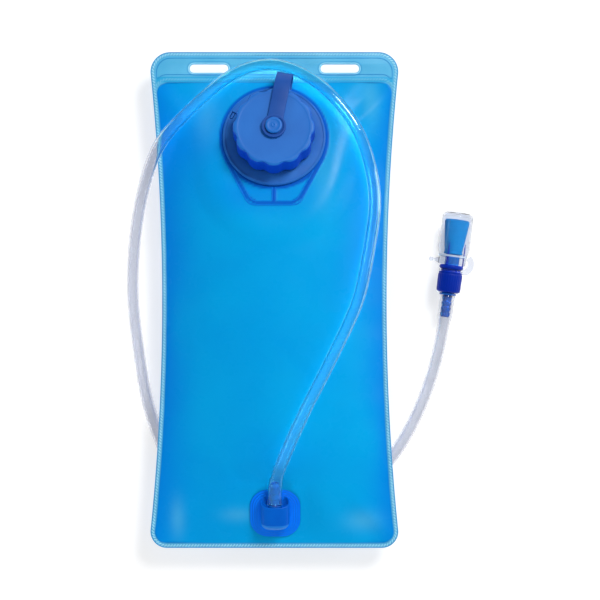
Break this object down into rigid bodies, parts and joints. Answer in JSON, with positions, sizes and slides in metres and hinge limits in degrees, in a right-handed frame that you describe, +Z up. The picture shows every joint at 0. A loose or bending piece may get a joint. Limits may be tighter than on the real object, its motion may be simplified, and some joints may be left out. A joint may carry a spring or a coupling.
{
  "type": "hydration bladder",
  "caption": "Soft welded-film water reservoir with a tethered screw cap, a drinking hose and a bite valve under a pull-off dust cover.",
  "frame": {"origin": "under the middle of the bag's outline, on the surface that the filled bag lies on", "axes": "+X across the bag towards the bite valve, +Y along the bag towards the filling neck and the hang slots, +Z up out of the front film"},
  "size_m": [0.2564, 0.36, 0.0621],
  "materials": {
    "film": "translucent azure film, soft gloss",
    "seam": "two welded films, paler",
    "fitting": "moulded blue plastic",
    "tether": "soft purple-blue moulding",
    "cap": "moulded blue plastic, matt top",
    "seal": "matt",
    "clear_tube": "clear soft tube",
    "valve_body": "moulded dark-blue plastic",
    "silicone": "matt silicone",
    "clear_cover": "frosted clear plastic"
  },
  "bodies": {
    "bag": {"front_film": "film", "back_film": "film", "hang_strip": "seam", "neck_spout": "fitting", "tether_ring": "tether", "outlet_flange": "fitting", "outlet_barb": "fitting", "outlet_o_ring": "seal", "hose": "clear_tube", "valve_stem": "valve_body", "valve_collar": "valve_body", "valve_o_ring": "seal", "dust_cover_strap": "clear_cover"},
    "tether": {"tether_strap": "tether"},
    "screw_cap": {"cap": "cap", "cap_gasket": "seal", "cap_rivet": "cap"},
    "bite_valve": {"valve_housing": "valve_body", "mouthpiece": "silicone"},
    "cover": {"dust_cover": "clear_cover"}
  },
  "joints": [
    {"name": "cap_rise", "type": "slide", "parent": "bag", "child": "tether", "axis": [0, 0.2588, 0.9659], "range_m": [0, 0.0076]},
    {"name": "cap_turn", "type": "hinge", "parent": "tether", "child": "screw_cap", "pos_m": [0, 0.117, 0.03314], "axis": [0, 0.2588, 0.9659], "range_deg": [0, 540]},
    {"name": "valve_twist", "type": "hinge", "parent": "bag", "child": "bite_valve", "pos_m": [0.1266, 0.0035, 0.0116], "axis": [0.1323, 0.9912, 0], "range_deg": [0, 90]},
    {"name": "cover_pull", "type": "slide", "parent": "bag", "child": "cover", "axis": [0.1323, 0.9912, 0], "range_m": [0, 0.045]}
  ],
  "couplings": [
    {"joint": "cap_rise", "follows": "cap_turn", "m_per_rad": 0.00079577}
  ]
}
